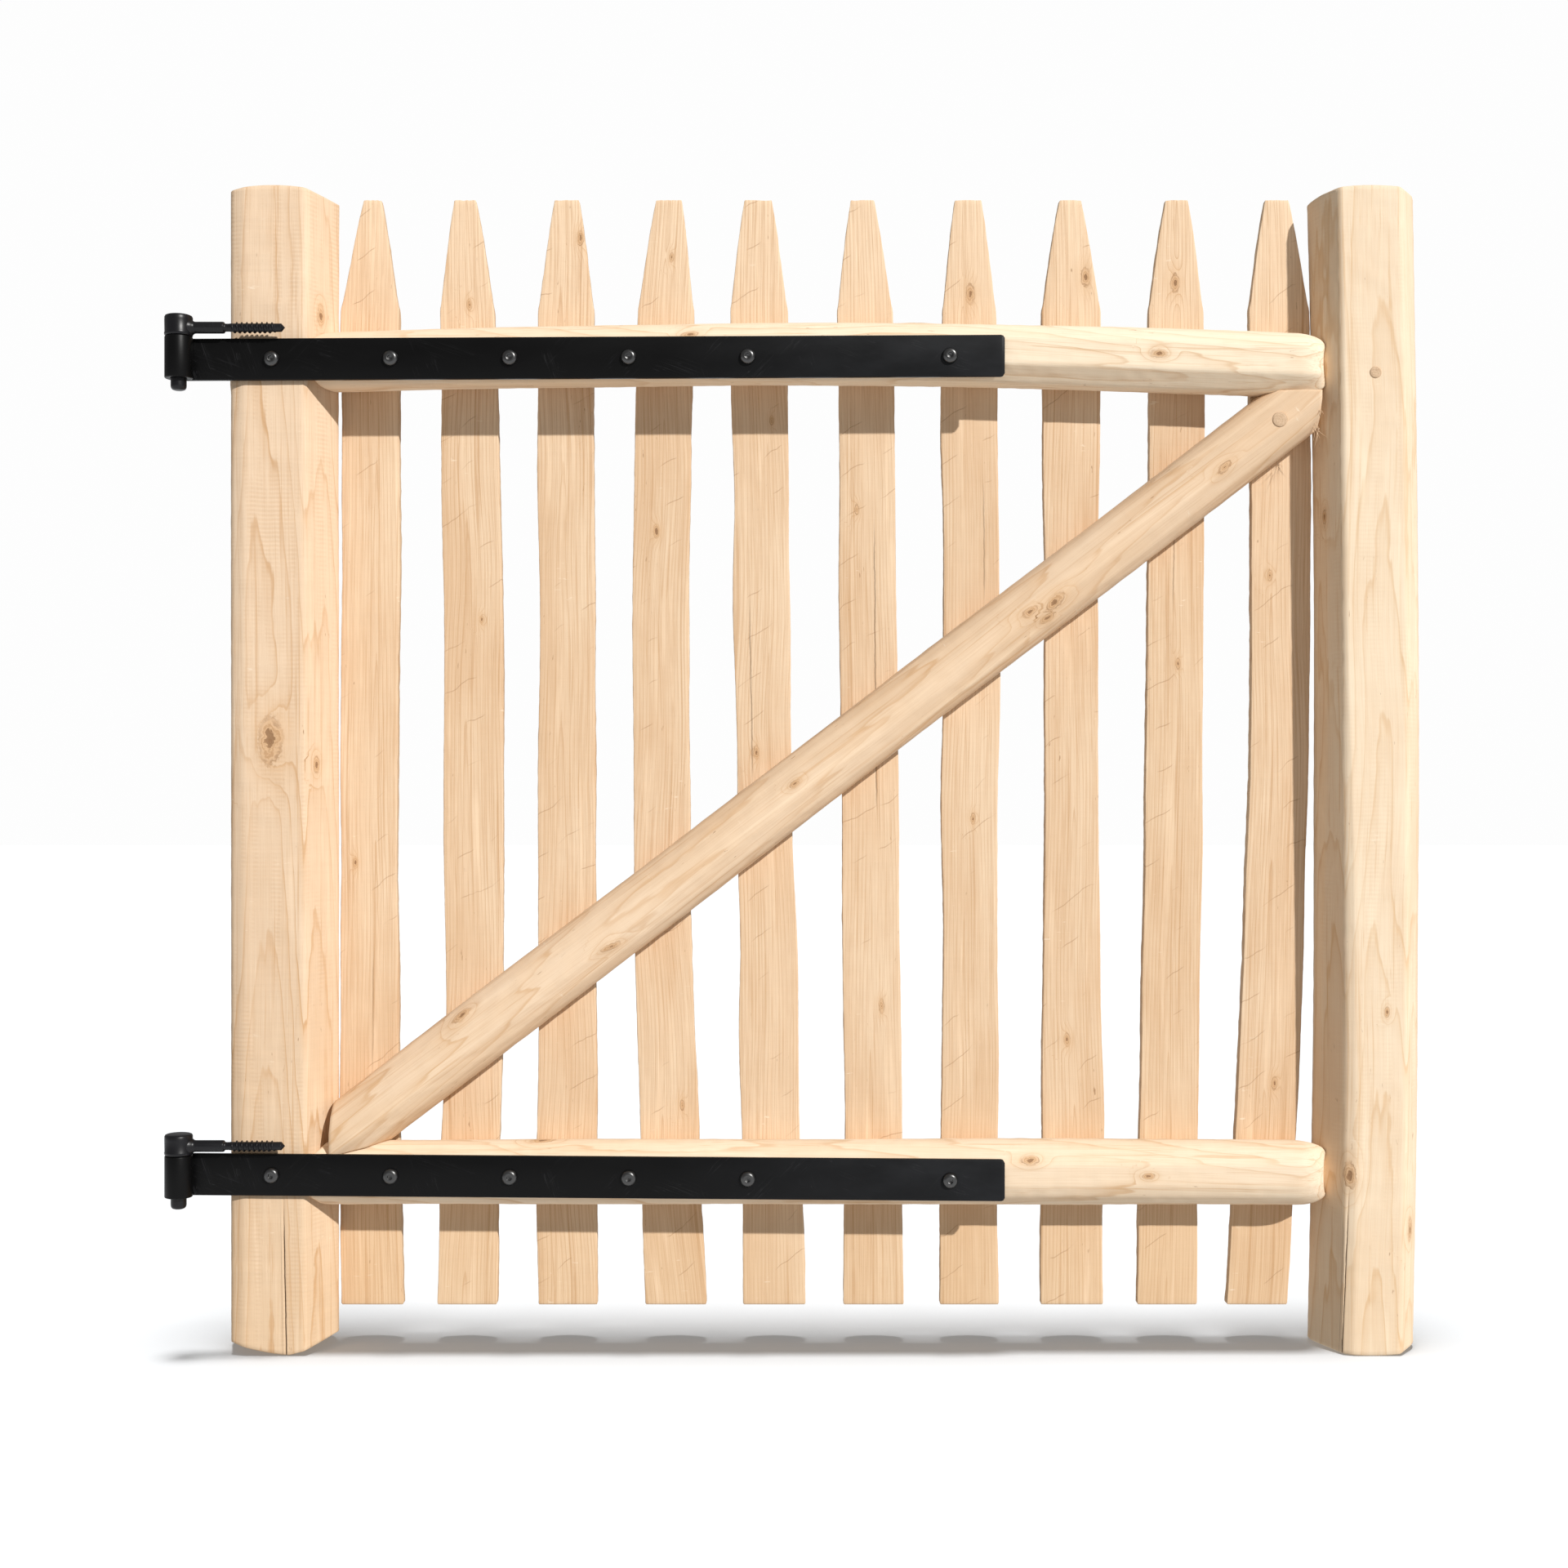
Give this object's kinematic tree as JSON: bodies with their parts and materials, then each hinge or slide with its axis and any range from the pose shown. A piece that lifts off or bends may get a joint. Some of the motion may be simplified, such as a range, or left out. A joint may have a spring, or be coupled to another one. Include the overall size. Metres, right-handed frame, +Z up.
{
  "type": "garden gate",
  "caption": "Rustic picket garden gate of peeled round poles: two posts, two rails, a diagonal brace, pointed pickets and two black strap hinges with swinging screw pintles.",
  "frame": {"origin": "centre of the hinge post's foot, on the ground", "axes": "+X from the hinge post towards the latch post, +Y from the strap side (front) to the picket side (back), +Z up"},
  "size_m": [1.0638, 0.1078, 0.987],
  "materials": {
    "hinge_post_wood": "peeled and planed softwood, untreated, with saw chatter",
    "latch_post_wood": "peeled and planed softwood, untreated",
    "rail_wood": "peeled softwood pole, untreated",
    "brace_wood": "peeled softwood pole, untreated",
    "picket_wood": "sawn half-round softwood, untreated",
    "peg_wood": "turned dowel, end grain",
    "strap_paint": "satin black powder coat with dusty scratches",
    "pintle_paint": "satin black paint on forged steel",
    "screw_black": "glossy black screw heads",
    "nail_steel": "galvanised nail heads"
  },
  "bodies": {
    "gate_leaf": {"hinge_post": "hinge_post_wood", "latch_post": "latch_post_wood", "top_rail": "rail_wood", "bottom_rail": "rail_wood", "diagonal_brace": "brace_wood", "picket_01": "picket_wood", "picket_02": "picket_wood", "picket_03": "picket_wood", "picket_04": "picket_wood", "picket_05": "picket_wood", "picket_06": "picket_wood", "picket_07": "picket_wood", "picket_08": "picket_wood", "picket_09": "picket_wood", "picket_10": "picket_wood", "upper_strap_hinge": "strap_paint", "lower_strap_hinge": "strap_paint", "upper_strap_screws": "screw_black", "lower_strap_screws": "screw_black", "top_rail_peg": "peg_wood", "bottom_rail_peg": "peg_wood", "brace_peg": "peg_wood", "picket_nails_top": "nail_steel", "picket_nails_bottom": "nail_steel", "picket_nails_brace": "nail_steel"},
    "upper_pintle": {"upper_pintle": "pintle_paint"},
    "lower_pintle": {"lower_pintle": "pintle_paint"}
  },
  "joints": [
    {"name": "upper_pintle_swing", "type": "hinge", "parent": "gate_leaf", "child": "upper_pintle", "pos_m": [-0.0755, -0.05055, 0.8387], "axis": [0, 0, -1], "range_deg": [-3, 290]},
    {"name": "lower_pintle_swing", "type": "hinge", "parent": "gate_leaf", "child": "lower_pintle", "pos_m": [-0.0755, -0.05055, 0.154], "axis": [0, 0, -1], "range_deg": [-3, 290]}
  ]
}
